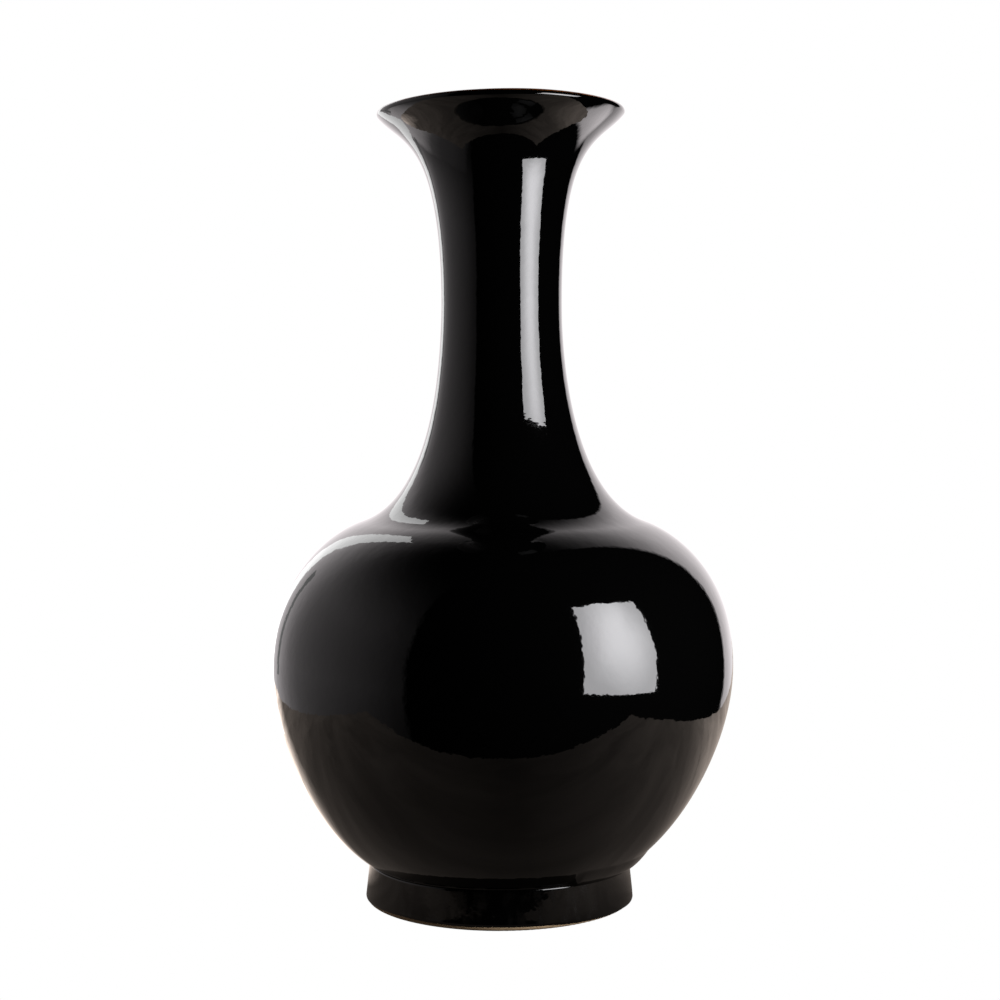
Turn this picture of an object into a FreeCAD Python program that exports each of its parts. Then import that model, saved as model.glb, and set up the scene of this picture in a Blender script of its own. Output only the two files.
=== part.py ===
import FreeCAD, Part
import math
import os

# A tall glazed bottle vase on a foot ring, in millimetres. +Z is up, the origin is the centre of the
# face that the foot ring stands on, and Z is the axis that every section was turned about.
# The pot was thrown in sections that were luted together with slip, then glazed inside and out.
# Everything is drawn as a half section in the XZ plane (X is the radius) and revolved about Z.

# --- Driving dimensions: the glazed outline, from the ground up ---
total_height = 600.0
foot_bottom_radius = 102.0
foot_flare = 2.8              # the ring is this much wider at the ground than at the crease
foot_height = 29.5            # up to the crease where the bowl rises from the ring
foot_hollow = 0.4             # how far the ring's side is hollowed halfway between its two edges
belly_radius = 175.0
belly_height = 179.0
ledge_radius = 107.0          # where the shoulder is flattest, just before it turns up into the neck
ledge_height = 288.0
waist_radius = 45.5           # the narrowest part of the neck
waist_height = 453.5
mouth_radius = 93.0
lip_thickness = 5.4           # the rolled lip, glaze included

# Directions of the outline, in degrees above the horizontal, at the places where it isn't upright.
crease_angle = 32.5
ledge_angle = 19.5
lip_angle = 51.0

# How far the outline runs on in each direction before it bends away: the fullness of each curve.
bowl_from_crease = 54.5
bowl_to_belly = 50.0
shoulder_from_belly = 59.0
shoulder_to_ledge = 36.0
neck_from_ledge = 47.5
neck_to_waist = 72.5
flare_from_waist = 124.0
flare_to_lip = 24.0

# --- Walls, glaze and slip ---
base_wall = 10.0              # total wall at the crease, glaze included
belly_wall = 8.5
ledge_wall = 8.5
waist_wall = 7.4
glaze_thickness = 0.6
slip_thickness = 1.2          # the band of slip left in each luted joint
floor_thickness = 10.0
floor_flat_radius = 58.0      # the level part of the inside floor
floor_from_flat = 16.0
floor_to_wall = 14.0

# --- Foot ring ---
foot_width = 14.0             # across the ring's standing face, before its edges are rounded
foot_round = 2.4
glaze_stop_height = 3.0       # the glaze was wiped back to here before firing
underside_drop = 11.5         # from the crease down to the level underside of the floor

# --- Luted joints in the wall ---
belly_joint_rise = 7.0        # above the belly
neck_joint_rise = 13.0        # above the ledge
scarf_angle = 20.0            # each joint leans this far from square across the wall
joint_overrun = 6.0           # the joint's cutter reaches this far past both faces of the wall

samples_per_stretch = 12      # stations along each stretch when a parallel surface is drawn


def at(radius, height):
    return FreeCAD.Vector(radius, 0, height)


def heading(degrees):
    return at(math.cos(math.radians(degrees)), math.sin(math.radians(degrees)))


def line(a, b):
    return Part.LineSegment(a, b).toShape()


def arc(a, middle, b):
    return Part.Arc(a, middle, b).toShape()


def face(edges):
    return Part.Face(Part.Wire(Part.__sortEdges__(edges)))


def stretch(start, start_angle, start_reach, end, end_angle, end_reach):
    """One smooth stretch of the outline, set by its ends, their directions and their reaches."""
    curve = Part.BezierCurve()
    curve.setPoles([
        start,
        start + heading(start_angle) * start_reach,
        end - heading(end_angle) * end_reach,
        end,
    ])
    return curve


def solid_of_revolution(profile):
    turned = profile.revolve(at(0, 0), FreeCAD.Vector(0, 0, 1), 360)
    return turned.Solids[0] if len(turned.Solids) == 1 else Part.Solid(turned.Shells[0])


# --- The glazed outline ---
lip_radius = lip_thickness / 2
lip_centre = at(mouth_radius - lip_radius, total_height - lip_radius)
lip_out = heading(lip_angle - 90)      # from the lip's centre to where the flare's outside meets it

foot_top_radius = foot_bottom_radius - foot_flare
crease = at(foot_top_radius, foot_height)
belly = at(belly_radius, belly_height)
ledge = at(ledge_radius, ledge_height)
waist = at(waist_radius, waist_height)
lip_start = lip_centre + lip_out * lip_radius

outline = [
    stretch(crease, crease_angle, bowl_from_crease, belly, 90, bowl_to_belly),
    stretch(belly, 90, shoulder_from_belly, ledge, 180 - ledge_angle, shoulder_to_ledge),
    stretch(ledge, 180 - ledge_angle, neck_from_ledge, waist, 90, neck_to_waist),
    stretch(waist, 90, flare_from_waist, lip_start, lip_angle, flare_to_lip),
]


def station(curve, share):
    """A point on the outline and the unit direction from it straight into the wall."""
    along = curve.tangent(share)[0]
    return curve.value(share), at(-along.z, along.x)


def parallel(depth_at):
    """A smooth curve inside the outline, from crease to lip, at a depth that depends on height."""
    points = []
    for curve in outline:
        for step in range(samples_per_stretch):
            point, inward = station(curve, step / samples_per_stretch)
            points.append(point + inward * depth_at(point.z))
    points.append(lip_start - lip_out * depth_at(lip_start.z))
    spline = Part.BSplineCurve()
    spline.interpolate(points)
    return spline


wall_stations = [
    (crease.z, base_wall),
    (belly.z, belly_wall),
    (ledge.z, ledge_wall),
    (waist.z, waist_wall),
    (lip_start.z, lip_thickness),
]


def wall_at(height):
    """Total wall at a height, easing from each station's thickness to the next."""
    for (low, thick_low), (high, thick_high) in zip(wall_stations, wall_stations[1:]):
        if height <= high:
            share = max(0.0, (height - low) / (high - low))
            return thick_low + (thick_high - thick_low) * share * share * (3 - 2 * share)
    return lip_thickness


def glaze_depth(height):
    return glaze_thickness


def clay_depth(height):
    return wall_at(height) - glaze_thickness


# --- Surfaces that two pieces share are drawn once, here ---
clay_outside = parallel(glaze_depth)
clay_inside = parallel(clay_depth)
glaze_inside = parallel(wall_at)

lip_top = at(0, 1)
clay_lip_radius = lip_radius - glaze_thickness
clay_top = lip_centre + lip_top * clay_lip_radius
glaze_top = lip_centre + lip_top * lip_radius


def lip_arc(radius, first_angle, last_angle):
    angles = (first_angle, (first_angle + last_angle) / 2, last_angle)
    return arc(*(lip_centre + heading(angle) * radius for angle in angles))


def inside_floor(height, wall_curve):
    """The level floor from the axis, then the curve that turns up into the wall."""
    flat_end = at(floor_flat_radius, height)
    turn = stretch(flat_end, 0, floor_from_flat, wall_curve.StartPoint, crease_angle, floor_to_wall)
    return [line(at(0, height), flat_end), turn.toShape()]


recess_depth = foot_height - underside_drop
floor_top = recess_depth + floor_thickness

# The bowl's underside runs straight on from the clay's outside, below the crease.
underside_direction = heading(crease_angle)
underside_start = clay_outside.StartPoint


def on_underside(radius):
    run = (underside_start.x - radius) / underside_direction.x
    return underside_start - underside_direction * run


def underside_at_height(height):
    run = (underside_start.z - height) / underside_direction.z
    return underside_start - underside_direction * run


underside_foot = underside_at_height(recess_depth)

# --- The clay wall in one profile, from which the three thrown sections are parted ---
clay_profile = face([
    line(at(0, recess_depth), underside_foot),
    line(underside_foot, underside_start),
    clay_outside.toShape(),
    lip_arc(clay_lip_radius, lip_angle - 90, lip_angle + 90),
    clay_inside.toShape(),
    *inside_floor(floor_top, clay_inside),
    line(at(0, floor_top), at(0, recess_depth)),
])


def joint_cutter(curve, height):
    """The thin strip that a luted joint takes out of the wall, leaning by the scarf angle."""
    low, high = 0.0, 1.0
    for _ in range(40):
        middle = (low + high) / 2
        low, high = (middle, high) if curve.value(middle).z < height else (low, middle)
    point, inward = station(curve, low)
    lean = FreeCAD.Rotation(FreeCAD.Vector(0, 1, 0), -scarf_angle)
    across = lean.multVec(inward)
    half = at(-across.z, across.x) * (slip_thickness / 2)
    outer = point - across * joint_overrun
    inner = point + across * (wall_at(height) / math.cos(math.radians(scarf_angle)) + joint_overrun)
    corners = [outer + half, inner + half, inner - half, outer - half]
    return Part.Face(Part.makePolygon(corners + corners[:1]))


belly_cutter = joint_cutter(outline[1], belly_height + belly_joint_rise)
neck_cutter = joint_cutter(outline[2], ledge_height + neck_joint_rise)
parted = clay_profile.cut([belly_cutter, neck_cutter])
lower_profile, upper_profile, neck_profile = sorted(parted.Faces, key=lambda part: part.CenterOfMass.z)

# --- The foot ring and the slip that holds it ---
foot_inner_radius = foot_bottom_radius - foot_width
clay_foot_radius = foot_bottom_radius - glaze_thickness
ring_top_outer = on_underside(foot_top_radius - glaze_thickness)
ring_top_inner = on_underside(foot_inner_radius)
round_middle = foot_round * (1 - math.sqrt(0.5))


def foot_side(top, bottom_radius):
    """The ring's slightly hollow side, from the crease down to where the glaze was wiped back."""
    bottom = at(bottom_radius, glaze_stop_height)
    curve = Part.BezierCurve()
    curve.setPoles([top, (top + bottom) * 0.5 - at(2 * foot_hollow, 0), bottom])
    return curve.toShape()


clay_foot_side = foot_side(ring_top_outer, clay_foot_radius)
glaze_foot_side = foot_side(crease, foot_bottom_radius)

ring_blank = face([
    line(ring_top_inner, ring_top_outer),
    clay_foot_side,
    line(at(clay_foot_radius, glaze_stop_height), at(clay_foot_radius, foot_round)),
    arc(
        at(clay_foot_radius, foot_round),
        at(clay_foot_radius - round_middle, round_middle),
        at(clay_foot_radius - foot_round, 0),
    ),
    line(at(clay_foot_radius - foot_round, 0), at(foot_inner_radius + foot_round, 0)),
    arc(
        at(foot_inner_radius + foot_round, 0),
        at(foot_inner_radius + round_middle, round_middle),
        at(foot_inner_radius, foot_round),
    ),
    line(at(foot_inner_radius, foot_round), ring_top_inner),
])

slip_drop = at(underside_direction.z, -underside_direction.x) * slip_thickness
overrun = underside_direction * joint_overrun
slip_corners = [
    ring_top_inner - overrun,
    ring_top_outer + overrun,
    ring_top_outer + overrun + slip_drop,
    ring_top_inner - overrun + slip_drop,
]
foot_cutter = Part.Face(Part.makePolygon(slip_corners + slip_corners[:1]))

# --- The glaze, one coat outside and one inside, meeting along the top of the lip ---
outer_glaze_profile = face([
    line(at(clay_foot_radius, glaze_stop_height), at(foot_bottom_radius, glaze_stop_height)),
    glaze_foot_side,
    *(curve.toShape() for curve in outline),
    lip_arc(lip_radius, lip_angle - 90, 90),
    line(glaze_top, clay_top),
    lip_arc(clay_lip_radius, lip_angle - 90, 90),
    clay_outside.toShape(),
    line(underside_start, ring_top_outer),
    clay_foot_side,
])

inner_glaze_profile = face([
    line(clay_top, glaze_top),
    lip_arc(lip_radius, 90, lip_angle + 90),
    glaze_inside.toShape(),
    *inside_floor(floor_top + glaze_thickness, glaze_inside),
    line(at(0, floor_top + glaze_thickness), at(0, floor_top)),
    *inside_floor(floor_top, clay_inside),
    clay_inside.toShape(),
    lip_arc(clay_lip_radius, 90, lip_angle + 90),
])

pieces = {
    "foot_ring": ring_blank.cut(foot_cutter),
    "foot_joint_slip": ring_blank.common(foot_cutter),
    "lower_body": lower_profile,
    "belly_joint_slip": clay_profile.common(belly_cutter),
    "upper_body": upper_profile,
    "neck_joint_slip": clay_profile.common(neck_cutter),
    "neck": neck_profile,
    "outer_glaze": outer_glaze_profile,
    "inner_glaze": inner_glaze_profile,
}

os.makedirs("parts", exist_ok=True)
for name, profile in pieces.items():
    solid = solid_of_revolution(profile.Faces[0])
    solid.exportStep(os.path.join("parts", name + ".step"))
    print(name, "valid", solid.isValid(), "volume cm3", round(solid.Volume / 1000, 2))
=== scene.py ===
"""A tall bottle vase in black-glazed stoneware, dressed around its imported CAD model.

The pot was thrown in three sections on a separate foot ring, luted together with slip and glazed all
over. The glaze is one continuous skin here, turned from the same outline as the CAD glaze. The clay
under it keeps the CAD shapes. Everything then leans and wanders as one, the way thrown walls do.
Sizes are in metres, the origin is the centre of the standing face and +Z is up.
"""

import logging
import math
from dataclasses import dataclass
from enum import Enum

import bpy
import numpy as np
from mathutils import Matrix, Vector, noise


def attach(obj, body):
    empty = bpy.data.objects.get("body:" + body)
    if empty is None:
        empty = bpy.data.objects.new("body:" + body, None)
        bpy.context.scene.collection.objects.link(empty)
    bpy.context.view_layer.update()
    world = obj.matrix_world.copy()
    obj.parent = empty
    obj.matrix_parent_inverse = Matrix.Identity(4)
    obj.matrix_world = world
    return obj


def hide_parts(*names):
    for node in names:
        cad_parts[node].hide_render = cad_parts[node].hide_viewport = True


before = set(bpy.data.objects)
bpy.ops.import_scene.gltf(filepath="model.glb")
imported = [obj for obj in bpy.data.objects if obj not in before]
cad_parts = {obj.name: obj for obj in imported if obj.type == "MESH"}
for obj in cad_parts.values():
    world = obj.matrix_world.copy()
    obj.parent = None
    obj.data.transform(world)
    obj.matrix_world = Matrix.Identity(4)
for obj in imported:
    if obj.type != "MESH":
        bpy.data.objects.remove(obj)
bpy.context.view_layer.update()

log = logging.getLogger("bottle_vase")

MM = 0.001


# ---------------------------------------------------------------------------------------------
# Small tools
# ---------------------------------------------------------------------------------------------


def linear(hex_colour: str) -> tuple[float, float, float, float]:
    """Turns an sRGB hex colour into the linear colour that shaders work in.

    Args:
        hex_colour: Six hex digits, with or without a leading #.

    Returns:
        Linear red, green and blue, with an alpha of 1.
    """
    digits = hex_colour.lstrip("#")
    channels = [int(digits[i:i + 2], 16) / 255 for i in (0, 2, 4)]
    toned = [c / 12.92 if c <= 0.04045 else ((c + 0.055) / 1.055) ** 2.4 for c in channels]
    return toned[0], toned[1], toned[2], 1.0


def sine(degrees: float) -> float:
    """Takes the sine of an angle.

    Args:
        degrees: The angle, in degrees.

    Returns:
        Its sine.
    """
    return math.sin(math.radians(degrees))


def smooth_step(low: float, high: float, value: np.ndarray) -> np.ndarray:
    """Eases from 0 at low to 1 at high.

    Args:
        low: Where the step starts.
        high: Where the step ends. It may be below low, for a step that falls.
        value: The values to ease.

    Returns:
        The eased values, from 0 to 1.
    """
    share = np.clip((value - low) / (high - low), 0, 1)
    return share * share * (3 - 2 * share)


def add_node(tree: bpy.types.NodeTree, kind: str, settings: dict | None = None,
             links: dict | None = None) -> bpy.types.Node:
    """Adds one shader node with its settings and its incoming links.

    Args:
        tree: The node tree that the node goes into.
        kind: The node's type name.
        settings: Attributes by name, and input values by the input's name or number.
        links: Output sockets by the name or number of the input that each feeds.

    Returns:
        The new node.
    """
    made = tree.nodes.new(kind)
    for name, value in (settings or {}).items():
        if isinstance(name, str) and hasattr(made, name):
            setattr(made, name, value)
        else:
            made.inputs[name].default_value = value
    for name, socket in (links or {}).items():
        tree.links.new(socket, made.inputs[name])
    return made


def deselect_all() -> None:
    """Leaves object mode with nothing selected, so that the next operator acts on one piece."""
    if bpy.context.object and bpy.context.object.mode != "OBJECT":
        bpy.ops.object.mode_set(mode="OBJECT")
    bpy.ops.object.select_all(action="DESELECT")


def mesh_points(piece: bpy.types.Object) -> np.ndarray:
    """Reads a piece's vertices.

    Args:
        piece: The mesh object.

    Returns:
        One row of x, y and z for each vertex.
    """
    points = np.empty(len(piece.data.vertices) * 3)
    piece.data.vertices.foreach_get("co", points)
    return points.reshape(-1, 3)


def set_mesh_points(piece: bpy.types.Object, points: np.ndarray) -> None:
    """Writes a piece's vertices back.

    Args:
        piece: The mesh object.
        points: One row of x, y and z for each vertex.
    """
    piece.data.vertices.foreach_set("co", points.ravel())
    piece.data.update()


def spin_section(name: str, loop: list[tuple[float, float]], steps: int) -> bpy.types.Object:
    """Draws a half section point by point in edit mode and spins it about Z into a closed piece.

    Args:
        name: The piece's name.
        loop: Radius and height of each point, in order round the section, both ends on the axis.
        steps: How many faces go round the piece.

    Returns:
        The finished mesh object, at the origin, with its seam and poles closed.
    """
    deselect_all()
    bpy.ops.mesh.primitive_plane_add(size=MM, location=(loop[0][0], 0, loop[0][1]))
    piece = bpy.context.object
    piece.name = piece.data.name = name
    bpy.ops.object.mode_set(mode="EDIT")
    bpy.ops.mesh.select_all(action="SELECT")
    bpy.ops.mesh.merge(type="CENTER")
    for (r0, z0), (r1, z1) in zip(loop, loop[1:]):
        step = {"value": (r1 - r0, 0, z1 - z0)}
        bpy.ops.mesh.extrude_vertices_move(TRANSFORM_OT_translate=step)
    bpy.ops.mesh.select_all(action="SELECT")
    bpy.ops.mesh.spin(steps=steps, angle=math.tau, center=(0, 0, 0), axis=(0, 0, 1))
    bpy.ops.mesh.select_all(action="SELECT")
    bpy.ops.mesh.remove_doubles(threshold=2e-5)
    bpy.ops.mesh.delete_loose(use_verts=True, use_edges=True, use_faces=False)
    bpy.ops.mesh.select_all(action="SELECT")
    bpy.ops.mesh.normals_make_consistent(inside=False)
    bpy.ops.object.mode_set(mode="OBJECT")
    bpy.ops.object.transform_apply(location=True, rotation=True, scale=True)
    return piece


# ---------------------------------------------------------------------------------------------
# The shape
# ---------------------------------------------------------------------------------------------


@dataclass(frozen=True)
class Stretch:
    """One smooth stretch of the outline: its ends, their directions in degrees and their reaches."""

    start: tuple[float, float]
    start_angle: float
    start_reach: float
    end: tuple[float, float]
    end_angle: float
    end_reach: float

    def stations(self, shares: np.ndarray) -> tuple[np.ndarray, np.ndarray]:
        """Samples the stretch.

        Args:
            shares: Places along the stretch, from 0 to 1.

        Returns:
            The points as rows of radius and height, and the unit directions straight into the wall.
        """
        a, d = np.array(self.start), np.array(self.end)
        b = a + self.start_reach * heading(self.start_angle)
        c = d - self.end_reach * heading(self.end_angle)
        t = shares[:, None]
        u = 1 - t
        points = u ** 3 * a + 3 * u * u * t * b + 3 * u * t * t * c + t ** 3 * d
        along = u * u * (b - a) + 2 * u * t * (c - b) + t * t * (d - c)
        along /= np.linalg.norm(along, axis=1, keepdims=True)
        return points, np.column_stack([-along[:, 1], along[:, 0]])


def heading(degrees: float) -> np.ndarray:
    """Points along the section at an angle.

    Args:
        degrees: The angle above the horizontal.

    Returns:
        The unit direction, as radius and height.
    """
    return np.array([math.cos(math.radians(degrees)), math.sin(math.radians(degrees))])


@dataclass
class Outline:
    """The glazed outline, with the sizes of the CAD glaze, except that the ring's side is less hollow."""

    total_height: float = 600 * MM
    foot_bottom_radius: float = 102 * MM
    foot_top_radius: float = 99.2 * MM
    foot_height: float = 29.5 * MM
    foot_hollow: float = 0.1 * MM
    belly: tuple[float, float] = (175 * MM, 179 * MM)
    ledge: tuple[float, float] = (107 * MM, 288 * MM)
    waist: tuple[float, float] = (45.5 * MM, 453.5 * MM)
    mouth_radius: float = 93 * MM
    lip_thickness: float = 5.4 * MM
    glaze_thickness: float = 0.6 * MM
    glaze_stop_height: float = 3 * MM
    crease_angle: float = 32.5
    ledge_angle: float = 19.5
    lip_angle: float = 51.0
    floor_top: float = 28.6 * MM
    floor_flat_radius: float = 58 * MM
    walls: tuple[tuple[float, float], ...] = (
        (29.5 * MM, 10 * MM), (179 * MM, 8.5 * MM), (288 * MM, 8.5 * MM),
        (453.5 * MM, 7.4 * MM), (595.6 * MM, 5.4 * MM),
    )

    def __post_init__(self) -> None:
        """Works out the lip and the four stretches of the outline."""
        self.lip_radius = self.lip_thickness / 2
        lip_height = self.total_height - self.lip_radius
        self.lip_centre = np.array([self.mouth_radius - self.lip_radius, lip_height])
        lip_start = tuple(self.lip_centre + self.lip_radius * heading(self.lip_angle - 90))
        crease = (self.foot_top_radius, self.foot_height)
        ledge_turn = 180 - self.ledge_angle
        self.stretches = (
            Stretch(crease, self.crease_angle, 54.5 * MM, self.belly, 90, 50 * MM),
            Stretch(self.belly, 90, 59 * MM, self.ledge, ledge_turn, 36 * MM),
            Stretch(self.ledge, ledge_turn, 47.5 * MM, self.waist, 90, 72.5 * MM),
            Stretch(self.waist, 90, 124 * MM, lip_start, self.lip_angle, 24 * MM),
        )

    def wall_at(self, heights: np.ndarray) -> np.ndarray:
        """Total wall at each height, easing from each station's thickness to the next.

        Args:
            heights: Heights on the outline.

        Returns:
            The wall's thickness at each of them.
        """
        thick = np.full(heights.shape, self.walls[0][1])
        for (low, thin), (high, thicker) in zip(self.walls, self.walls[1:]):
            thick = thick + (thicker - thin) * smooth_step(low, high, heights)
        return thick

    def foot_side(self, shares: np.ndarray) -> np.ndarray:
        """Samples the ring's slightly hollow side, from its glazed edge up to the crease.

        Args:
            shares: Places along the side, from 0 to 1.

        Returns:
            Rows of radius and height.
        """
        bottom = np.array([self.foot_bottom_radius, self.glaze_stop_height])
        top = np.array([self.foot_top_radius, self.foot_height])
        middle = (bottom + top) / 2 - np.array([2 * self.foot_hollow, 0])
        t = shares[:, None]
        return (1 - t) ** 2 * bottom + 2 * t * (1 - t) * middle + t * t * top

    def outside(self) -> tuple[np.ndarray, np.ndarray]:
        """Samples the glaze from its edge near the ground, up the outside and round the lip.

        Returns:
            The points, and the unit directions into the wall at each of them.
        """
        foot_shares = np.concatenate([np.linspace(0, 0.9, 16), np.linspace(0.92, 0.995, 8)])
        foot = self.foot_side(foot_shares)
        points, inward = [foot], [np.tile([-1.0, 0.0], (len(foot), 1))]
        crowded = np.concatenate([np.linspace(0, 0.14, 18), np.linspace(0.16, 1, 34)])
        for index, stretch in enumerate(self.stretches):
            shares = crowded if index == 0 else np.linspace(0, 1, 42)[1:]
            spot, normal = stretch.stations(shares)
            points.append(spot)
            inward.append(normal)
        turn = np.array([heading(a) for a in np.linspace(self.lip_angle - 90, self.lip_angle + 90, 23)[1:]])
        points.append(self.lip_centre + self.lip_radius * turn)
        inward.append(-turn)
        return np.vstack(points), np.vstack(inward)

    def inside(self, depth: float) -> np.ndarray:
        """Samples the inside from just below the lip down to the middle of the floor.

        Args:
            depth: How far behind the glazed inside the line runs, towards the clay.

        Returns:
            Rows of radius and height.
        """
        wall = []
        for stretch in reversed(self.stretches):
            spot, normal = stretch.stations(np.linspace(1, 0, 13)[1:])
            wall.append(spot + normal * (self.wall_at(spot[:, 1]) - depth)[:, None])
        wall = np.vstack(wall)
        flat = np.array([self.floor_flat_radius, self.floor_top - depth])
        turn = Stretch(tuple(flat), 0, 16 * MM, tuple(wall[-1]), self.crease_angle, 14 * MM)
        bend = turn.stations(np.linspace(1, 0, 9)[1:])[0]
        level = [(self.floor_flat_radius * s, self.floor_top - depth) for s in (0.75, 0.5, 0.25, 0.08, 0.0)]
        return np.vstack([wall, bend, level])


@dataclass
class Handwork:
    """How far the thrown walls stray from a true turned form. Every piece moves by the same field."""

    wander: tuple[tuple[float, float], ...] = (
        (0.03, 0.0), (0.18, 2.0 * MM), (0.27, 3.2 * MM), (0.44, 1.6 * MM), (0.60, 0.8 * MM),
    )
    mouth_rise: float = 1.3 * MM
    mouth_from: float = 500 * MM
    mouth_saddle: float = 3.2 * MM
    saddle_from: float = 540 * MM
    swell: float = 0.30 * MM
    swell_length: float = 75 * MM
    ripple: float = 0.035 * MM
    ripple_length: float = 14 * MM
    seed_offset: tuple[float, float, float] = (3.7, 11.2, 5.9)
    crevice_depth: float = 2.0 * MM
    crevice_height: float = 30.6 * MM
    crevice_reach: float = 1.1 * MM
    lap_azimuth: float = 31.0
    lap_end: float = 150.0
    lap_fade: float = 25.0
    still_below: float = 12 * MM
    crevice_from: float = 88 * MM
    crevice_to: float = 94 * MM
    mouth_radius: float = 93 * MM
    total_height: float = 600 * MM

    def azimuth(self, points: np.ndarray) -> np.ndarray:
        """Measures how far round from the front each point is.

        Args:
            points: Rows of x, y and z.

        Returns:
            Degrees, positive to the right of someone who faces the pot.
        """
        return np.degrees(np.arctan2(points[:, 0], -points[:, 1]))

    def filled(self, points: np.ndarray) -> np.ndarray:
        """Tells how full of glaze and slip the foot joint is. It fills sharply at the lap.

        Args:
            points: Rows of x, y and z.

        Returns:
            A share from 0 to 1 for each point.
        """
        turn = self.azimuth(points)
        return (turn > self.lap_azimuth) * smooth_step(self.lap_end, self.lap_end - self.lap_fade, turn)

    def moved(self, points: np.ndarray) -> np.ndarray:
        """Moves points from the true form to the thrown one.

        Args:
            points: Rows of x, y and z.

        Returns:
            The moved points.
        """
        moved = points.copy()
        height, radius = points[:, 2], np.hypot(points[:, 0], points[:, 1])
        free = smooth_step(0.0, self.still_below, height)
        near_crease = np.exp(-((height - self.crevice_height) / self.crevice_reach) ** 2)
        near_crease *= smooth_step(self.crevice_from, self.crevice_to, radius) * (1 - self.filled(points))
        pull = 1 - self.crevice_depth * near_crease / np.maximum(radius, MM)
        moved[:, :2] *= pull[:, None]
        start_height, start = self.wander[0]
        lean = np.full(len(points), start)
        for (low, before), (high, after) in zip(self.wander, self.wander[1:]):
            lean += (after - before) * smooth_step(low, high, height)
        moved[:, 0] += lean
        rising = smooth_step(self.mouth_from, self.total_height, height)
        moved[:, 2] += self.mouth_rise * points[:, 0] / self.mouth_radius * rising
        side = (points[:, 0] / np.maximum(radius, MM)) ** 2
        moved[:, 2] -= self.mouth_saddle * side * smooth_step(self.saddle_from, self.total_height, height)
        offset = Vector(self.seed_offset)
        for size, length in ((self.swell, self.swell_length), (self.ripple, self.ripple_length)):
            wave = np.array([noise.noise_vector(Vector(p) / length + offset)[:] for p in points])
            moved += size * wave * free[:, None]
        return moved


class Part:
    """A visible piece: it rides on the one body, takes a finish and stands for CAD nodes, which it hides.
    """

    def place(self, piece: bpy.types.Object, finish: bpy.types.Material, slot: str,
              nodes: tuple[str, ...]) -> bpy.types.Object:
        """Finishes a piece and hands it to the frame.

        Args:
            piece: The mesh object, at the origin.
            finish: Its material.
            slot: The record's material slot; not used.
            nodes: The CAD nodes that it stands for.

        Returns:
            The same piece.
        """
        piece.data.materials.clear()
        piece.data.materials.append(finish)
        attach(piece, "root")
        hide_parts(*nodes)
        log.info("%s: %d faces, for %s", piece.name, len(piece.data.polygons), ", ".join(nodes))
        return piece


@dataclass
class GlazeSkin(Part):
    """The glaze: one continuous skin over the foot's side, the outside, the lip and the inside."""

    outline: Outline
    handwork: Handwork
    steps: int = 228
    back_every: int = 3
    bead: float = 0.35 * MM
    fill_drop: float = 3.2 * MM
    fill_from: float = 100.4 * MM
    fill_to: float = 116.5 * MM
    fill_bottom: float = 29 * MM
    fill_top: float = 43 * MM
    sag_peak: float = 0.385
    edge_top: float = 7 * MM
    edge_full: float = 2.6 * MM
    edge_radius: float = 95 * MM
    edge_drop: float = 0.4 * MM
    edge_rise: float = 0.95 * MM
    edge_run: float = 1.85 * MM
    edge_wave: float = 0.16 * MM

    def section(self) -> list[tuple[float, float]]:
        """Lists the skin's section, from the axis up the inside, over the lip, down to the foot and back.

        Returns:
            Radius and height of each point. The way back runs along the clay, with fewer points.
        """
        face, inward = self.outline.outside()
        thick = self.outline.glaze_thickness
        edge = self.outline.glaze_stop_height
        low = self.outline.foot_bottom_radius
        bead = np.array([(low - thick, edge - 1.2 * self.bead), (low - 0.4 * thick, edge - self.bead),
                         (low - 0.08 * thick, edge - 0.45 * self.bead)])
        glossy = np.vstack([self.outline.inside(0.0)[::-1], face[::-1], bead[::-1]])
        on_clay = (face + inward * thick)[self.back_every::self.back_every]
        return [tuple(point) for point in np.vstack([glossy, on_clay, self.outline.inside(thick)])]

    def build(self, finish: bpy.types.Material) -> bpy.types.Object:
        """Turns the skin, fills the joint beyond the lap and lets the walls stray.

        Args:
            finish: The glaze.

        Returns:
            The skin.
        """
        piece = spin_section("glaze_skin", self.section(), self.steps)
        points = mesh_points(piece)
        radius, height = np.hypot(points[:, 0], points[:, 1]), points[:, 2]
        near = (height > self.fill_bottom) & (height < self.fill_top) & (radius > self.fill_from)
        share = np.clip((radius - self.fill_from) / (self.fill_to - self.fill_from), 0, 1)
        sag = np.sqrt(share) * (1 - share) / self.sag_peak * self.fill_drop * near
        points[:, 2] -= sag * self.handwork.filled(points)
        low_edge = smooth_step(self.edge_top, self.edge_full, height) * (radius > self.edge_radius)
        turn = self.handwork.azimuth(points)
        drop = self.edge_drop - self.edge_rise * smooth_step(-80, -40, turn)
        drop += self.edge_run * smooth_step(10, 54, turn) - self.edge_rise * smooth_step(140, 178, turn)
        slow = np.sin(np.radians(turn * 7) + 1.1)
        quick = np.sin(np.radians(turn * 17) + 2.0)
        wave = self.edge_wave * (slow + 0.6 * quick)
        points[:, 2] += (wave - drop) * low_edge
        set_mesh_points(piece, self.handwork.moved(points))
        deselect_all()
        piece.select_set(True)
        bpy.context.view_layer.objects.active = piece
        bpy.ops.object.shade_smooth_by_angle(angle=math.radians(50))
        return self.place(piece, finish, "black_glaze", ("outer_glaze", "inner_glaze"))


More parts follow.
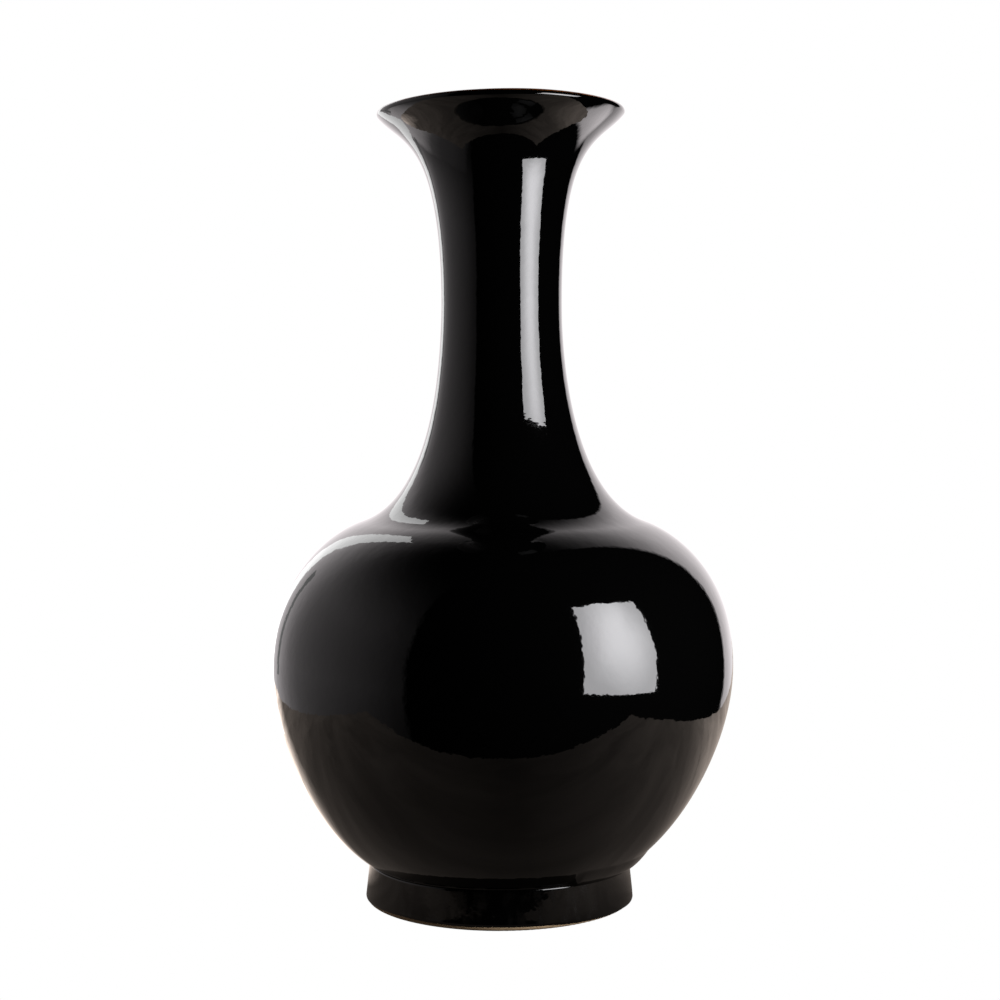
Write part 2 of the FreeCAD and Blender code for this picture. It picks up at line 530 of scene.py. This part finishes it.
@dataclass
class ClaySection(Part):
    """A piece of clay under the glaze, with its CAD shape and the same stray as the skin."""

    node: str
    handwork: Handwork
    slot: str

    def build(self, finish: bpy.types.Material) -> bpy.types.Object:
        """Copies the CAD shape, merges it and lets it stray with the rest.

        Args:
            finish: The clay.

        Returns:
            The piece.
        """
        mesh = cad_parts[self.node].data.copy()
        piece = bpy.data.objects.new(self.node + "_clay", mesh)
        bpy.context.scene.collection.objects.link(piece)
        deselect_all()
        piece.select_set(True)
        bpy.context.view_layer.objects.active = piece
        bpy.ops.object.mode_set(mode="EDIT")
        bpy.ops.mesh.select_all(action="SELECT")
        bpy.ops.mesh.remove_doubles(threshold=1e-5)
        bpy.ops.object.mode_set(mode="OBJECT")
        set_mesh_points(piece, self.handwork.moved(mesh_points(piece)))
        bpy.ops.object.shade_smooth_by_angle(angle=math.radians(30))
        return self.place(piece, finish, self.slot, (self.node,))


# ---------------------------------------------------------------------------------------------
# The finishes
# ---------------------------------------------------------------------------------------------


@dataclass(frozen=True)
class BlackGlaze:
    """Iron-manganese stoneware glaze, sprayed and fired glossy.

    It reads as deep black glass: mirror-sharp, with edges of reflections that ripple a little, a brown
    break where it runs thin over the lip, and a duller, blotchy coat low on the foot ring.
    """

    body: str = "#020202"
    break_brown: str = "#A8622A"
    roughness: float = 0.035
    dull: float = 0.22
    ior: float = 1.5
    mouth_saddle: float = 3.2 * MM
    mouth_rise: float = 1.3 * MM
    mouth_radius: float = 93 * MM
    break_low: float = 0.5985
    break_high: float = 0.5994
    foot_glossy: float = 0.031
    foot_dull: float = 0.027
    speckle: float = 6 * MM
    blotch: float = 8 * MM
    peel: float = 9 * MM
    peel_height: float = 0.09 * MM
    fine_peel: float = 2.4 * MM
    fine_peel_height: float = 0.004 * MM

    def material(self) -> bpy.types.Material:
        """Builds the glaze's shader.

        Returns:
            The material.
        """
        made = bpy.data.materials.new("black_iron_glaze_fired")
        made.use_nodes = True
        tree = made.node_tree
        shader = tree.nodes["Principled BSDF"]
        shader.inputs["IOR"].default_value = self.ior
        place = add_node(tree, "ShaderNodeTexCoord").outputs["Object"]
        split = add_node(tree, "ShaderNodeSeparateXYZ", links={0: place})
        height, across = split.outputs["Z"], split.outputs["X"]

        # The break: glaze runs off the crest of the lip, in a line 3 to 5 mm wide, and lets iron show.
        # The crest dips at the sides and rises to the right, so the height is first put level again.
        speckle = add_node(tree, "ShaderNodeTexNoise", {"Scale": 1 / self.speckle, "Detail": 3.0},
                           {"Vector": place})
        flat = add_node(tree, "ShaderNodeVectorMath", {"operation": "MULTIPLY", 1: (1, 1, 0)}, {0: place})
        reach = add_node(tree, "ShaderNodeVectorMath", {"operation": "LENGTH"}, {0: flat.outputs[0]})
        side = add_node(tree, "ShaderNodeMath", {"operation": "DIVIDE"},
                        {0: across, 1: reach.outputs["Value"]})
        square = add_node(tree, "ShaderNodeMath", {"operation": "MULTIPLY"},
                          {0: side.outputs[0], 1: side.outputs[0]})
        level = add_node(tree, "ShaderNodeMath", {"operation": "MULTIPLY_ADD", 1: self.mouth_saddle},
                         {0: square.outputs[0], 2: height})
        slope = -self.mouth_rise / self.mouth_radius
        true = add_node(tree, "ShaderNodeMath", {"operation": "MULTIPLY_ADD", 1: slope},
                        {0: across, 2: level.outputs[0]})
        crest = add_node(tree, "ShaderNodeMapRange",
                         {"From Min": self.break_low, "From Max": self.break_high,
                          "interpolation_type": "SMOOTHSTEP"},
                         {"Value": true.outputs[0]})
        uneven = add_node(tree, "ShaderNodeMapRange", {"From Min": 0.25, "From Max": 0.6},
                          {"Value": speckle.outputs[0]})
        broken = add_node(tree, "ShaderNodeMath", {"operation": "MULTIPLY"},
                          {0: crest.outputs[0], 1: uneven.outputs[0]})
        colour = add_node(tree, "ShaderNodeMix",
                          {"data_type": "RGBA", 6: linear(self.body), 7: linear(self.break_brown)},
                          {0: broken.outputs[0]})

        # The foot's coat is thinner and was handled: blotches about 8 mm across, drawn out upwards.
        upright = add_node(tree, "ShaderNodeMapping", {"Scale": (1, 1, 0.3)}, {"Vector": place})
        blotch = add_node(tree, "ShaderNodeTexNoise", {"Scale": 1 / self.blotch, "Detail": 6.0},
                          {"Vector": upright.outputs[0]})
        patch = add_node(tree, "ShaderNodeMapRange", {"From Min": 0.42, "From Max": 0.68},
                         {"Value": blotch.outputs[0]})
        low = add_node(tree, "ShaderNodeMapRange",
                       {"From Min": self.foot_glossy, "From Max": self.foot_dull,
                        "interpolation_type": "SMOOTHSTEP"},
                       {"Value": height})
        foot = add_node(tree, "ShaderNodeMath", {"operation": "MULTIPLY"},
                        {0: patch.outputs[0], 1: low.outputs[0]})
        rough = add_node(tree, "ShaderNodeMapRange", {"To Min": self.roughness, "To Max": self.dull},
                         {"Value": foot.outputs[0]})
        tree.links.new(colour.outputs["Result"], shader.inputs["Base Color"])
        tree.links.new(rough.outputs[0], shader.inputs["Roughness"])

        # Orange peel: a swell about 9 mm across and 0.09 mm high, and a finer one of 2.4 mm and 0.004 mm.
        wide = add_node(tree, "ShaderNodeTexNoise", {"Scale": 1 / self.peel, "Detail": 2.0},
                        {"Vector": place})
        fine = add_node(tree, "ShaderNodeTexNoise", {"Scale": 1 / self.fine_peel, "Detail": 1.0},
                        {"Vector": place})
        first = add_node(tree, "ShaderNodeBump", {"Strength": 1.0, "Distance": self.peel_height},
                         {"Height": wide.outputs[0]})
        second = add_node(tree, "ShaderNodeBump", {"Strength": 1.0, "Distance": self.fine_peel_height},
                          {"Height": fine.outputs[0], "Normal": first.outputs[0]})
        tree.links.new(second.outputs[0], shader.inputs["Normal"])
        return made


class ClaySurface(Enum):
    """How a bare clay surface was left before firing."""

    THROWN = "thrown"
    TRIMMED = "trimmed"
    SLIP = "slip"


@dataclass(frozen=True)
class BuffStoneware:
    """Buff stoneware clay, fired bare.

    It reads as matt tan biscuit with fine dark iron specks and, where it was trimmed, turning lines.
    """

    surface: ClaySurface
    tan: str = "#927D5E"
    pale_tan: str = "#8A745A"
    iron: str = "#5C4530"
    roughness: float = 0.85
    grit: float = 0.9 * MM
    line_spacing: float = 1.6 * MM
    cloud: float = 14 * MM
    ior: float = 1.5
    relief: float = 0.12 * MM

    def material(self) -> bpy.types.Material:
        """Builds the clay's shader.

        Returns:
            The material.
        """
        made = bpy.data.materials.new("buff_stoneware_" + self.surface.value)
        made.use_nodes = True
        tree = made.node_tree
        shader = tree.nodes["Principled BSDF"]
        shader.inputs["Roughness"].default_value = self.roughness
        shader.inputs["IOR"].default_value = self.ior
        place = add_node(tree, "ShaderNodeTexCoord").outputs["Object"]
        cloud = add_node(tree, "ShaderNodeTexNoise", {"Scale": 1 / self.cloud, "Detail": 5.0},
                         {"Vector": place})
        speck = add_node(tree, "ShaderNodeTexNoise", {"Scale": 1 / self.grit, "Detail": 2.0},
                         {"Vector": place})
        dark = add_node(tree, "ShaderNodeMapRange", {"From Min": 0.62, "From Max": 0.72},
                        {"Value": speck.outputs[0]})
        pale = add_node(tree, "ShaderNodeMix",
                        {"data_type": "RGBA", 6: linear(self.tan), 7: linear(self.pale_tan)},
                        {0: cloud.outputs[0]})
        colour = add_node(tree, "ShaderNodeMix", {"data_type": "RGBA", 7: linear(self.iron)},
                          {0: dark.outputs[0], 6: pale.outputs["Result"]})
        tree.links.new(colour.outputs["Result"], shader.inputs["Base Color"])
        # The wave repeats every tau times line_spacing, so its lines come about 10 mm apart. That is
        # coarser than real turning lines of 1 to 2 mm.
        lines = add_node(tree, "ShaderNodeTexWave",
                         {"wave_type": "RINGS", "rings_direction": "Z",
                          "Scale": 1 / (self.line_spacing * 20), "Distortion": 0.6},
                         {"Vector": place})
        source = speck if self.surface is ClaySurface.THROWN else lines
        bump = add_node(tree, "ShaderNodeBump", {"Strength": 0.6, "Distance": self.relief},
                        {"Height": source.outputs[0]})
        tree.links.new(bump.outputs[0], shader.inputs["Normal"])
        return made


# ---------------------------------------------------------------------------------------------
# The studio
# ---------------------------------------------------------------------------------------------


@dataclass
class Studio:
    """A white table in a dark room: a softbox on the right, a pale wall to the left and behind."""

    camera_distance: float = 1.490
    camera_height: float = 0.392
    camera_side: float = 0.0004
    camera_pitch: float = 3.38
    lens: float = 70.8
    sensor_width: float = 36.0
    table_front: float = -0.335
    table_right: float = 0.53
    table_left: float = -0.60
    table_back: float = 1.6
    # The table's painted glow: the tint of its painted light, and the angle of the painted light streaks in
    # it.
    painted_glow_tint: str = "#FFEDE0"
    glow_streak_angle: float = 52
    softbox_corners: tuple[tuple[float, float, float], ...] = (
        (0.262, -0.385, 0.551), (0.538, -0.188, 0.573), (0.879, -0.277, 0.061), (0.388, -0.571, 0.120),
    )
    softbox_edge: float = 8.3
    softbox_core: float = 15.5
    softbox_tint: str = "#FDFCFF"
    core_squash: tuple[float, float, float] = (1, 0.75, 1)
    core_shift: tuple[float, float, float] = (-0.5, -0.46, 0)
    later_bounces: float = 0.12
    rim_corners: tuple[tuple[float, float, float], ...] = (
        (-0.37, 0.41, 1.0), (-0.34, 0.60, 1.0), (-0.34, 0.60, 0.0), (-0.37, 0.41, 0.0),
    )
    rim_light: float = 2.8
    stand_corners: tuple[tuple[float, float, float], ...] = (
        (-0.86, 0.89, 0.62), (-0.80, 0.93, 0.62), (-0.80, 0.93, 0.01), (-0.86, 0.89, 0.01),
    )
    stand_light: float = 0.45
    wall_top: float = 74
    wall_full: float = 22
    wall_foot: float = -5
    wall_bottom: float = -60
    floor_top: float = -18
    floor_full: float = -27

    def camera(self) -> None:
        """Adds the camera, looking along +Y and a little down."""
        data = bpy.data.cameras.new("camera")
        data.lens = self.lens
        data.sensor_width = self.sensor_width
        camera = bpy.data.objects.new("camera", data)
        camera.location = (self.camera_side, -self.camera_distance, self.camera_height)
        camera.rotation_euler = (math.radians(90 - self.camera_pitch), 0, 0)
        bpy.context.scene.collection.objects.link(camera)
        bpy.context.scene.camera = camera

    def table(self) -> None:
        """Adds the white table top. Its glow is painted light and shade set by place: painted shade, dim in
        front of the pot, and painted light, bright behind it. The camera sees it plain white.
        """
        deselect_all()
        bpy.ops.mesh.primitive_plane_add(size=1, location=(0, 0, 0))
        table = bpy.context.object
        table.name = "table_top"
        table.scale = (self.table_right - self.table_left, self.table_back - self.table_front, 1)
        middle = (self.table_right + self.table_left) / 2
        table.location = (middle, (self.table_back + self.table_front) / 2, 0)
        bpy.ops.object.transform_apply(location=True, rotation=True, scale=True)
        made = bpy.data.materials.new("white_table_painted_glow")
        made.use_nodes = True
        tree = made.node_tree
        tree.nodes.clear()
        place = add_node(tree, "ShaderNodeTexCoord").outputs["Object"]
        split = add_node(tree, "ShaderNodeSeparateXYZ", links={0: place})
        x, y = split.outputs["X"], split.outputs["Y"]
        # Painted light and shade that only the pot's reflections see: dim in front of the pot as painted
        # shade, brighter to the left, the right and far behind as painted light.
        left = add_node(tree, "ShaderNodeMapRange",
                        {"From Min": 0.0, "From Max": -0.6, "To Min": 0.08, "To Max": 0.34}, {"Value": x})
        right = add_node(tree, "ShaderNodeMapRange",
                         {"From Min": 0.03, "From Max": 0.48, "To Min": 0.0, "To Max": 0.32}, {"Value": x})
        deep = add_node(tree, "ShaderNodeMapRange",
                        {"From Min": -0.6, "From Max": 0.15, "To Min": 0.55, "To Max": 1.2}, {"Value": y})
        total = add_node(tree, "ShaderNodeMath", {"operation": "ADD"},
                         {0: left.outputs[0], 1: right.outputs[0]})
        shaded = add_node(tree, "ShaderNodeMath", {"operation": "MULTIPLY"},
                          {0: total.outputs[0], 1: deep.outputs[0]})
        slant = add_node(tree, "ShaderNodeMath", {"operation": "MULTIPLY_ADD", 1: 0.75, 2: 0.125}, {0: y})
        across = add_node(tree, "ShaderNodeMath", {"operation": "ADD"}, {0: x, 1: slant.outputs[0]})
        past = add_node(tree, "ShaderNodeMapRange",
                        {"From Min": -0.08, "From Max": 0.06, "To Max": 2.3}, {"Value": across.outputs[0]})
        behind = add_node(tree, "ShaderNodeMapRange", {"From Min": 0.03, "From Max": 0.20}, {"Value": y})
        side = add_node(tree, "ShaderNodeMapRange", {"From Min": 0.08, "From Max": -0.08, "To Min": 0.12},
                        {"Value": x})
        lit = add_node(tree, "ShaderNodeMath", {"operation": "MULTIPLY"},
                       {0: past.outputs[0], 1: behind.outputs[0]})
        backlit = add_node(tree, "ShaderNodeMath", {"operation": "MULTIPLY"},
                           {0: lit.outputs[0], 1: side.outputs[0]})
        both = add_node(tree, "ShaderNodeMath", {"operation": "ADD"},
                        {0: shaded.outputs[0], 1: backlit.outputs[0]})
        # Painted light: long slanted streaks that make the painted glow 0.75 to 1.25 times as bright.
        streak_coords = add_node(tree, "ShaderNodeMapping",
                         {"Rotation": (0, 0, math.radians(self.glow_streak_angle)), "Scale": (4, 14, 1)},
                         {"Vector": place})
        streak_noise = add_node(tree, "ShaderNodeTexNoise", {"Scale": 1.0, "Detail": 3.0, "Distortion": 0.8},
                         {"Vector": streak_coords.outputs[0]})
        streak = add_node(tree, "ShaderNodeMapRange",
                          {"From Min": 0.3, "From Max": 0.7, "To Min": 0.75, "To Max": 1.25},
                          {"Value": streak_noise.outputs[0]})
        streaked_glow = add_node(tree, "ShaderNodeMath", {"operation": "MULTIPLY"},
                         {0: both.outputs[0], 1: streak.outputs[0]})
        # The table glows though it is no lamp: painted light and shade to the pot, plain white to the
        # camera.
        painted_glow = add_node(tree, "ShaderNodeEmission", {"Color": linear(self.painted_glow_tint)},
                            {"Strength": streaked_glow.outputs[0]})
        white = add_node(tree, "ShaderNodeEmission", {"Color": (1, 1, 1, 1), "Strength": 1.0})
        ray = add_node(tree, "ShaderNodeLightPath")
        seen = add_node(tree, "ShaderNodeMixShader", links={0: ray.outputs["Is Camera Ray"],
                                                            1: painted_glow.outputs[0], 2: white.outputs[0]})
        add_node(tree, "ShaderNodeOutputMaterial", links={0: seen.outputs[0]})
        table.data.materials.append(made)

    def card(self, name: str, corners: tuple[tuple[float, float, float], ...], edge: float, core: float,
             tint: str) -> None:
        """Adds a glowing card that the camera doesn't see.

        Its bright middle is an upright oval a little above the card's centre.

        Args:
            name: The card's name.
            corners: Its top left, top right, lower right and lower left corners, as the pot sees them.
            edge: Its brightness at the edges.
            core: Its brightness in the middle.
            tint: The colour of its fabric.
        """
        deselect_all()
        bpy.ops.mesh.primitive_plane_add(size=1)
        card = bpy.context.object
        card.name = name
        top_left, top_right, low_right, low_left = corners
        for vertex, corner in zip(card.data.vertices, (low_left, low_right, top_left, top_right)):
            vertex.co = corner
        card.visible_camera = False
        made = bpy.data.materials.new(name + "_fabric")
        made.use_nodes = True
        tree = made.node_tree
        tree.nodes.clear()
        place = add_node(tree, "ShaderNodeTexCoord").outputs["UV"]
        centred = add_node(tree, "ShaderNodeVectorMath",
                           {"operation": "MULTIPLY_ADD", 1: self.core_squash, 2: self.core_shift},
                           {0: place})
        reach = add_node(tree, "ShaderNodeVectorMath", {"operation": "LENGTH"}, {0: centred.outputs[0]})
        power = add_node(tree, "ShaderNodeMapRange",
                         {"From Min": 0.05, "From Max": 0.55, "To Min": core, "To Max": edge,
                          "interpolation_type": "SMOOTHSTEP"},
                         {"Value": reach.outputs["Value"]})
        ray = add_node(tree, "ShaderNodeLightPath")
        later = add_node(tree, "ShaderNodeMapRange",
                         {"From Min": 1.2, "From Max": 1.8, "To Min": 1.0, "To Max": self.later_bounces},
                         {"Value": ray.outputs["Ray Depth"]})
        dimmed = add_node(tree, "ShaderNodeMath", {"operation": "MULTIPLY"},
                          {0: power.outputs[0], 1: later.outputs[0]})
        glow = add_node(tree, "ShaderNodeEmission", {"Color": linear(tint)},
                        {"Strength": dimmed.outputs[0]})
        add_node(tree, "ShaderNodeOutputMaterial", links={0: glow.outputs[0]})
        card.data.materials.append(made)

    def by_turn(self, tree: bpy.types.NodeTree, share: bpy.types.NodeSocket,
                stops: tuple[tuple[float, float], ...], brightest: float) -> bpy.types.Node:
        """Adds a ramp that gives brightness by azimuth.

        Args:
            tree: The world's node tree.
            share: The azimuth, as a share from 0 at -180 degrees to 1 at 180.
            stops: Azimuth in degrees and brightness, in order.
            brightest: The brightness that the ramp's white stands for.

        Returns:
            The ramp node.
        """
        ramp = add_node(tree, "ShaderNodeValToRGB", links={0: share})
        marks = ramp.color_ramp.elements
        while len(marks) > 1:
            marks.remove(marks[-1])
        for index, (azimuth, light) in enumerate(stops):
            mark = marks[0] if index == 0 else marks.new((azimuth + 180) / 360)
            mark.position = (azimuth + 180) / 360
            mark.color = (light / brightest,) * 3 + (1.0,)
        return ramp

    def room(self) -> None:
        """Lights the room by direction: pale wall on the left and behind, dark in front and overhead."""
        brightest = 5.0
        by_azimuth = (
            (-180, 1.2), (-170, 1.4), (-160, 1.6), (-148, 1.1), (-138, 0.92), (-130, 0.70), (-120, 0.56),
            (-110, 0.51), (-90, 0.41), (-70, 0.27), (-54, 0.13), (-48.5, 0.10), (-47, 0.0), (141, 0.0),
            (143.5, 1.6), (156, 1.6), (168, 1.3), (180, 1.25),
        )
        floor_by_azimuth = (
            (-180, 2.4), (-150, 1.7), (-130, 1.3), (-115, 0.45), (-100, 0.28), (-80, 0.25), (-60, 0.15),
            (-50, 0.0), (127, 0.0), (133, 2.9), (160, 3.3), (180, 3.2),
        )
        world = bpy.data.worlds.new("dark_studio")
        bpy.context.scene.world = world
        world.use_nodes = True
        tree = world.node_tree
        tree.nodes.clear()
        way = add_node(tree, "ShaderNodeTexCoord").outputs["Generated"]
        split = add_node(tree, "ShaderNodeSeparateXYZ", links={0: way})
        front = add_node(tree, "ShaderNodeMath", {"operation": "MULTIPLY", 1: -1.0},
                         {0: split.outputs["Y"]})
        turn = add_node(tree, "ShaderNodeMath", {"operation": "ARCTAN2"},
                        {0: split.outputs["X"], 1: front.outputs[0]})
        share = add_node(tree, "ShaderNodeMapRange", {"From Min": -math.pi, "From Max": math.pi},
                         {"Value": turn.outputs[0]})
        wall_ramp = self.by_turn(tree, share.outputs[0], by_azimuth, brightest)
        floor_ramp = self.by_turn(tree, share.outputs[0], floor_by_azimuth, brightest)
        top = add_node(tree, "ShaderNodeMapRange",
                       {"From Min": sine(self.wall_top), "From Max": sine(self.wall_full),
                        "interpolation_type": "SMOOTHSTEP"}, {"Value": split.outputs["Z"]})
        low = add_node(tree, "ShaderNodeMapRange",
                       {"From Min": sine(self.wall_bottom), "From Max": sine(self.wall_foot)},
                       {"Value": split.outputs["Z"]})
        span = add_node(tree, "ShaderNodeMath", {"operation": "MULTIPLY"},
                        {0: top.outputs[0], 1: low.outputs[0]})
        wall = add_node(tree, "ShaderNodeMath", {"operation": "MULTIPLY"},
                        {0: span.outputs[0], 1: wall_ramp.outputs[0]})
        under = add_node(tree, "ShaderNodeMapRange",
                         {"From Min": sine(self.floor_top), "From Max": sine(self.floor_full),
                          "interpolation_type": "SMOOTHSTEP"},
                         {"Value": split.outputs["Z"]})
        floor = add_node(tree, "ShaderNodeMath", {"operation": "MULTIPLY"},
                         {0: under.outputs[0], 1: floor_ramp.outputs[0]})
        either = add_node(tree, "ShaderNodeMath", {"operation": "MAXIMUM"},
                          {0: wall.outputs[0], 1: floor.outputs[0]})
        seen = add_node(tree, "ShaderNodeMath", {"operation": "MULTIPLY", 1: brightest},
                        {0: either.outputs[0]})
        ray = add_node(tree, "ShaderNodeLightPath")
        strength = add_node(tree, "ShaderNodeMix", {3: 1.0},
                            {0: ray.outputs["Is Camera Ray"], 2: seen.outputs[0]})
        tint = add_node(tree, "ShaderNodeMix", {"data_type": "RGBA", 6: linear("#FFF8FA"), 7: (1, 1, 1, 1)},
                        {0: ray.outputs["Is Camera Ray"]})
        glow = add_node(tree, "ShaderNodeBackground", links={"Color": tint.outputs["Result"],
                                                             "Strength": strength.outputs[0]})
        add_node(tree, "ShaderNodeOutputWorld", links={0: glow.outputs[0]})

    def build(self) -> None:
        """Sets up the whole studio."""
        self.camera()
        self.table()
        self.card("softbox", self.softbox_corners, self.softbox_edge, self.softbox_core, self.softbox_tint)
        self.card("rim_card", self.rim_corners, self.rim_light, self.rim_light, "#FFFFFF")
        # Painted light: the grey stand glows, though it is no lamp, so that the glaze reflects it.
        self.card("grey_stand", self.stand_corners, self.stand_light, self.stand_light, "#FFFFFF")
        self.room()
        bpy.context.scene.view_settings.view_transform = "Standard"


def main() -> None:
    """Builds the studio and every piece."""
    logging.basicConfig(level=logging.INFO, format="%(name)s %(message)s")
    Studio().build()
    outline, handwork = Outline(), Handwork()
    GlazeSkin(outline, handwork).build(BlackGlaze().material())
    thrown = BuffStoneware(ClaySurface.THROWN).material()
    trimmed = BuffStoneware(ClaySurface.TRIMMED).material()
    slip = BuffStoneware(ClaySurface.SLIP).material()
    for node in ("lower_body", "upper_body", "neck"):
        ClaySection(node, handwork, "body_clay").build(thrown)
    for node in ("foot_joint_slip", "belly_joint_slip", "neck_joint_slip"):
        ClaySection(node, handwork, "joining_slip").build(slip)
    ClaySection("foot_ring", handwork, "foot_clay").build(trimmed)


if __name__ == "__main__":
    main()
